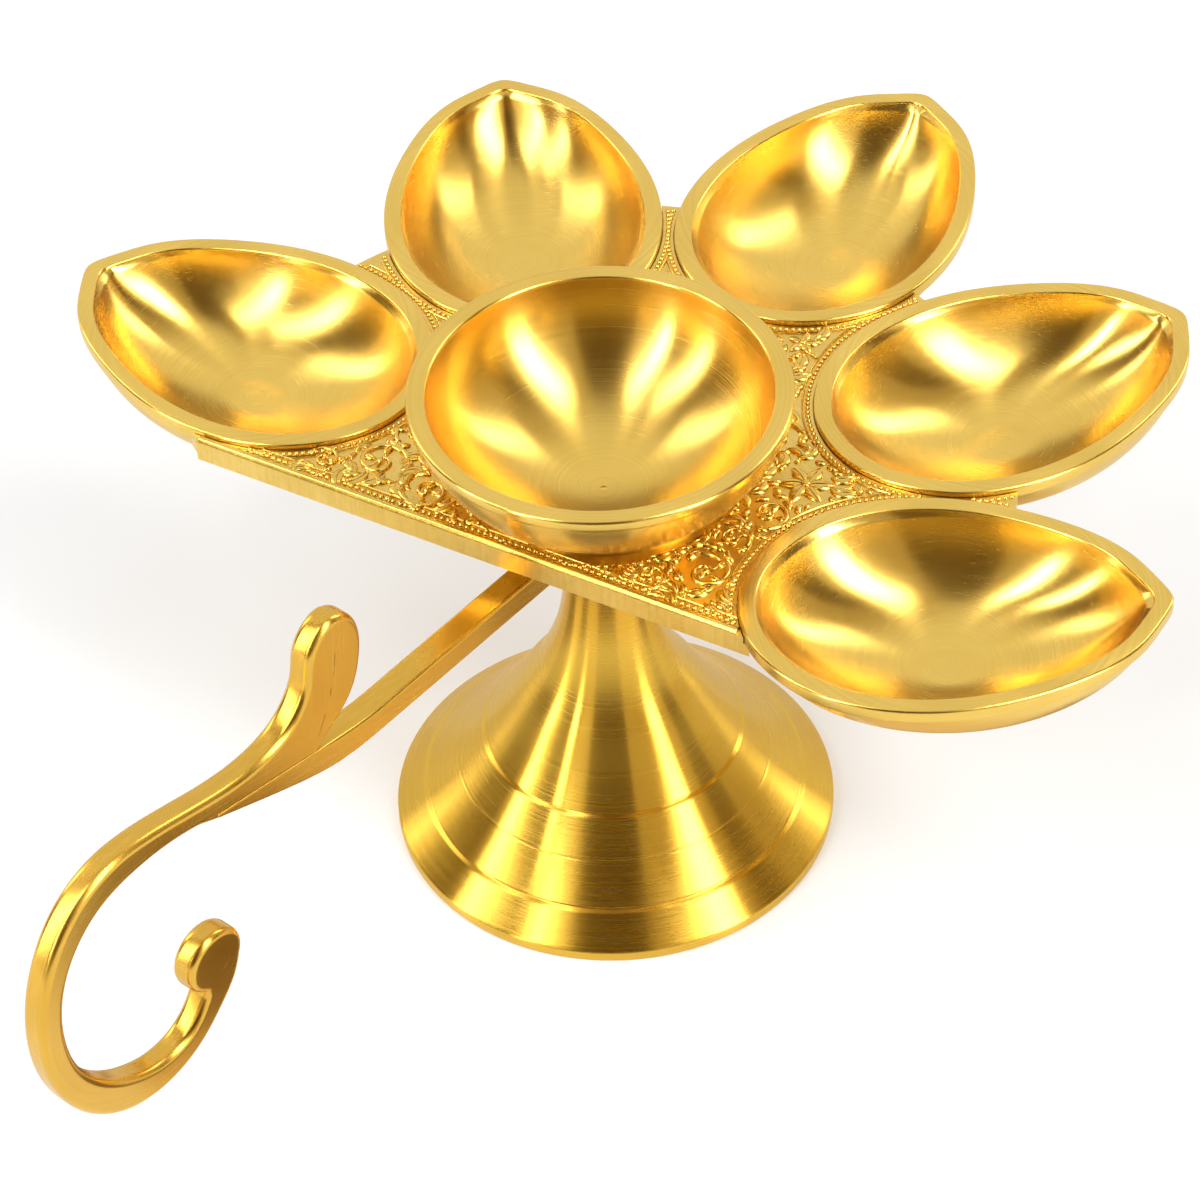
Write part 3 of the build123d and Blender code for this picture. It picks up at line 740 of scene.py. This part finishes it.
# The rest of the plate is filled with smaller and smaller scrolls, then with leaves, inside the border.
BORDER, SEED, SPOT_COUNT, SPOTS_LOW, SPOTS_HIGH = 2.15, 11, 14000, (-62, -30), (62, 66)
SCROLL_SIZES, SCROLL_ROOM, SCROLL_APART = ((4.2, 1), (3.5, -1), (2.9, 1), (2.3, -1)), 1.05, 1.08
LEAF_SIZES, LEAF_ROOM, LEAF_APART, SCROLL_REACH = (2.2, 1.7, 1.3, 1.0, 0.75), 0.4, 0.52, 0.98
spots = np.random.default_rng(SEED).uniform(SPOTS_LOW, SPOTS_HIGH, (SPOT_COUNT, 2))
room = np.array([clear_of(q) for q in spots])
spots, room = spots[room > BORDER], room[room > BORDER]
for size, hand in SCROLL_SIZES:
    for (x, y), free in zip(spots, room):
        if free > BORDER + SCROLL_ROOM * size and all(
                hypot(x - q[0], y - q[1]) > SCROLL_APART * (q[2] + size) for q in FLOWERS + SCROLLS):
            SCROLLS.append((x, y, size, atan2(y, x), hand))
for flower in FLOWERS:
    rosette(*flower)
for vine in SCROLLS:
    scroll_stem(*vine)
taken = np.array([(*made[:2], SCROLL_REACH * made[2]) for made in FLOWERS + SCROLLS])
for size in LEAF_SIZES:
    for (x, y), free in zip(spots, room):
        gaps = np.hypot(taken[:, 0] - x, taken[:, 1] - y)
        if free < BORDER + LEAF_ROOM * size or np.any(gaps < taken[:, 2] + LEAF_APART * size):
            continue
        # Neighbouring leaves lie different ways.
        turn = atan2(y, x) + 1.9 * sin(0.35 * x) + 1.3 * cos(0.31 * y)
        leaflet(x - size * cos(turn), y - size * sin(turn), turn, length=2.0 * size, width=0.5 * size,
                height=RELIEF * 0.9, curl=0.9)
        taken = np.vstack([taken, (x, y, LEAF_APART * size)])
piece("tray_relief", relief_verts, relief_faces, "tray", ornament_brass, "ornament_brass", sharp=60,
      place=tray_place)

# Floor: a plain white board that shows the lamp's soft shadow.
# It glows a little where the camera or the metal sees it, and that glow lights nothing.
FLOOR_WHITE, FLOOR_GLOW, FLOOR_HALF = 0.80, 0.2, 4


def seen_plainly(start):
    """1 for what the camera, gloss or glass sees, and 0 for the light that falls on things."""
    kinds = ("Is Camera Ray", "Is Glossy Ray", "Is Transmission Ray")
    camera_ray, glossy_ray, clear_ray = (start.node("ShaderNodeLightPath", output=kind) for kind in kinds)
    return (camera_ray + glossy_ray + clear_ray).clipped()


white, start = bare_material("white_floor")
paint = start.node("ShaderNodeBsdfDiffuse", {}, {"Color": (FLOOR_WHITE, FLOOR_WHITE, FLOOR_WHITE, 1)})
glow = start.node("ShaderNodeEmission", {}, {"Color": (1, 1, 1, 1), "Strength": 1.0})
share = seen_plainly(start) * FLOOR_GLOW
give_surface(white, start.node("ShaderNodeMixShader", {}, {0: share, 1: paint, 2: glow}))
board = bpy.data.meshes.new("floor")
corners = ((-1, -1), (1, -1), (1, 1), (-1, 1))
board.from_pydata([(x * FLOOR_HALF, y * FLOOR_HALF, 0) for x, y in corners], [], [(0, 1, 2, 3)])
board.materials.append(white)
floor = put("floor", board)

# Studio: a white room, and a curtain of dark and pale folds round the camera's side, seen only in the metal.
# A ring of the same cloth lies on the floor round the pedestal.
# Tall soft boxes draw the bright streaks in the bowls and on the pedestal.
ROOM_LIGHT, ROOM_SHOWN = 0.35, 0.65
AZIMUTH = radians(41.0)
# Bearings from the camera's side, in degrees, of the dark folds and of the whole curtain.
DARK = [(-105, -85), (-66, -52), (-25, 16), (68, 86)]
CURTAIN_FROM, CURTAIN_TO, FOLD = -125, 125, 5
# The ring's two edges, then the curtain from its foot up: radius and height in metres.
# The row between the ring and the curtain is left open.
CURTAIN = [(0.043, 0.0012), (0.10, 0.0012), (1.6, 0.004), (1.6, 0.9), (1.3, 1.35), (0.75, 1.65),
           (0.25, 1.75)]
OPEN_ROW = 1
CLOTHS = (("dark_cloth", (0.13, 0.075, 0.018, 1)), ("pale_cloth", (0.66, 0.54, 0.36, 1)))
# Each soft box's bearing, height, width, length and glow.
SOFT_BOXES = [("far_left_box", -76, 0.67, 0.16, 1.3, 10.0), ("left_box", -46, 0.88, 0.14, 1.5, 15.0),
              ("right_box", 52, 0.85, 0.30, 1.5, 12.0), ("back_left_box", -120, 0.7, 0.22, 0.8, 5.0),
              ("back_right_box", 120, 0.7, 0.22, 0.8, 6.0)]
BOX_REACH, BOX_AIM = 1.0, Vector((0, 0, 0.07))
world = bpy.data.worlds.new("studio")
bpy.context.scene.world = world
world.use_nodes = True
tree = world.node_tree
strength = seen_plainly(Channel(tree, None)) * ROOM_SHOWN + ROOM_LIGHT
tree.links.new(strength.socket, tree.nodes["Background"].inputs["Strength"])
tree.nodes["Background"].inputs["Color"].default_value = (1, 1, 1, 1)
folds = bpy.data.meshes.new("curtain")
for name, shade in CLOTHS:
    cloth = bpy.data.materials.new(name)
    cloth.use_nodes = True
    weave = cloth.node_tree.nodes["Principled BSDF"].inputs
    weave["Base Color"].default_value = shade
    weave["Roughness"].default_value = 1.0
    folds.materials.append(cloth)
bearings = range(CURTAIN_FROM, CURTAIN_TO + 1, FOLD)
bends = [AZIMUTH + radians(a) for a in bearings]
count = len(bends)
fold_faces = [(i * count + j, i * count + j + 1, (i + 1) * count + j + 1, (i + 1) * count + j)
              for i in range(len(CURTAIN) - 1) if i != OPEN_ROW for j in range(count - 1)]
folds.from_pydata([(r * sin(a), -r * cos(a), z) for r, z in CURTAIN for a in bends], [], fold_faces)
for k, face in enumerate(folds.polygons):
    bearing = bearings[k % (count - 1)] + FOLD / 2
    face.material_index = 0 if any(low < bearing < high for low, high in DARK) else 1
curtain = put("curtain", folds)
curtain.visible_camera = curtain.visible_diffuse = curtain.visible_shadow = False
for name, bearing, height, wide, tall, glow in SOFT_BOXES:
    lamp = bpy.data.lights.new(name, "AREA")
    lamp.shape, lamp.size, lamp.size_y, lamp.energy = "RECTANGLE", wide, tall, glow * wide * tall * pi
    stand = put(name, lamp)
    turn = AZIMUTH + radians(bearing)
    stand.location = (BOX_REACH * sin(turn), -BOX_REACH * cos(turn), height)
    stand.rotation_euler = (BOX_AIM - stand.location).to_track_quat("-Z", "Y").to_euler()

# Camera: a long lens, looking down at the lamp from its right front.
# Its focal length and the picture's centre are in pixels of a square picture.
ELEVATION, ROLL, DISTANCE, AIM = 0.7736, -0.0393, 0.6765, Vector((0, 0, 0.0473))
SENSOR, PICTURE, FOCAL, CENTRE = 36.0, 1200, 4112, 608.1
back = Vector((sin(AZIMUTH) * cos(ELEVATION), -cos(AZIMUTH) * cos(ELEVATION), sin(ELEVATION)))
level = Vector((cos(AZIMUTH), sin(AZIMUTH), 0))
upright = back.cross(level)
right = level * cos(ROLL) + upright * sin(ROLL)
up = upright * cos(ROLL) - level * sin(ROLL)
lens = bpy.data.cameras.new("camera")
lens.sensor_width, lens.lens = SENSOR, SENSOR * FOCAL / PICTURE
lens.shift_x = (PICTURE / 2 - CENTRE) / PICTURE
lens.clip_start, lens.clip_end = 0.01, 50
camera = put("camera", lens)
camera.matrix_world = Matrix((right, up, back)).transposed().to_4x4()
camera.location = AIM + back * DISTANCE
bpy.context.scene.camera = camera
bpy.context.scene.view_settings.view_transform = "Standard"
